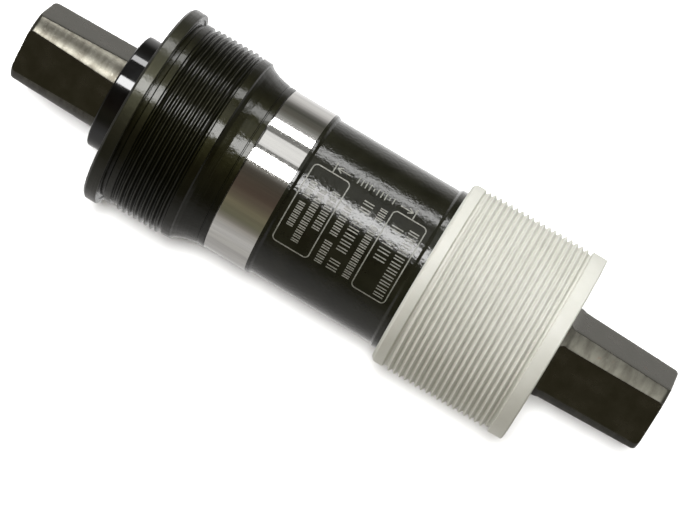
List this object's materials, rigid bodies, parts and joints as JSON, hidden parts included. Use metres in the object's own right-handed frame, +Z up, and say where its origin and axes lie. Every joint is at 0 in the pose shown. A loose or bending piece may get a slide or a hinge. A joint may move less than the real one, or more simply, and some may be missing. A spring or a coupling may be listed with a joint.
{
  "type": "bottom bracket",
  "caption": "Sealed cartridge bottom bracket with a square-taper spindle, a flanged threaded steel cup and a pull-off threaded resin adapter.",
  "frame": {"origin": "middle of the spindle, on its axis", "axes": "+X along the spindle towards the non-drive side, +Z up; the spindle's flats are stored 24.5 degrees round from +Z towards -Y"},
  "size_m": [0.123, 0.037, 0.037],
  "materials": {
    "spindle_steel": "dark blackened steel, ground flats, light rust specks",
    "cup_steel": "satin dark phosphate over turned steel",
    "tube_steel": "gloss black paint on the waist, bare polished steel on the land",
    "polished_steel": "ground and polished, near-mirror, with fine lathe lines",
    "print_ink": "thin light grey print",
    "adapter_resin": "satin moulded resin",
    "collar_plastic": "very glossy black",
    "ring_steel": "ground bearing steel",
    "ball_steel": "polished",
    "cage_nylon": "moulded nylon",
    "seal_rubber": "matt"
  },
  "bodies": {
    "cartridge": {"cartridge_tube": "tube_steel", "drive_cup": "cup_steel", "drive_dust_collar": "collar_plastic", "non_drive_dust_collar": "collar_plastic", "drive_lip_seal": "seal_rubber", "non_drive_lip_seal": "seal_rubber", "drive_bearing_outer_ring": "ring_steel", "drive_bearing_outboard_seal": "seal_rubber", "drive_bearing_inboard_seal": "seal_rubber", "non_drive_bearing_outer_ring": "ring_steel", "non_drive_bearing_outboard_seal": "seal_rubber", "non_drive_bearing_inboard_seal": "seal_rubber"},
    "spindle": {"spindle": "spindle_steel", "drive_bearing_inner_ring": "ring_steel", "non_drive_bearing_inner_ring": "ring_steel"},
    "drive_cage": {"drive_bearing_cage": "cage_nylon", "drive_bearing_ball_01": "ball_steel", "drive_bearing_ball_02": "ball_steel", "drive_bearing_ball_03": "ball_steel", "drive_bearing_ball_04": "ball_steel", "drive_bearing_ball_05": "ball_steel", "drive_bearing_ball_06": "ball_steel", "drive_bearing_ball_07": "ball_steel", "drive_bearing_ball_08": "ball_steel", "drive_bearing_ball_09": "ball_steel", "drive_bearing_ball_10": "ball_steel", "drive_bearing_ball_11": "ball_steel", "drive_bearing_ball_12": "ball_steel"},
    "non_drive_cage": {"non_drive_bearing_cage": "cage_nylon", "non_drive_bearing_ball_01": "ball_steel", "non_drive_bearing_ball_02": "ball_steel", "non_drive_bearing_ball_03": "ball_steel", "non_drive_bearing_ball_04": "ball_steel", "non_drive_bearing_ball_05": "ball_steel", "non_drive_bearing_ball_06": "ball_steel", "non_drive_bearing_ball_07": "ball_steel", "non_drive_bearing_ball_08": "ball_steel", "non_drive_bearing_ball_09": "ball_steel", "non_drive_bearing_ball_10": "ball_steel", "non_drive_bearing_ball_11": "ball_steel", "non_drive_bearing_ball_12": "ball_steel"},
    "adapter": {"non_drive_adapter": "adapter_resin"}
  },
  "joints": [
    {"name": "spindle_spin", "type": "hinge", "parent": "cartridge", "child": "spindle", "pos_m": [0, 0, 0], "axis": [1, 0, 0], "continuous": true},
    {"name": "drive_cage_spin", "type": "hinge", "parent": "cartridge", "child": "drive_cage", "pos_m": [-0.0285, 0, 0], "axis": [1, 0, 0], "continuous": true},
    {"name": "non_drive_cage_spin", "type": "hinge", "parent": "cartridge", "child": "non_drive_cage", "pos_m": [0.0285, 0, 0], "axis": [1, 0, 0], "continuous": true},
    {"name": "adapter_slide", "type": "slide", "parent": "cartridge", "child": "adapter", "axis": [1, 0, 0], "range_m": [0, 0.05]}
  ],
  "couplings": [
    {"joint": "drive_cage_spin", "follows": "spindle_spin", "ratio": 0.42616},
    {"joint": "non_drive_cage_spin", "follows": "spindle_spin", "ratio": 0.42616}
  ]
}
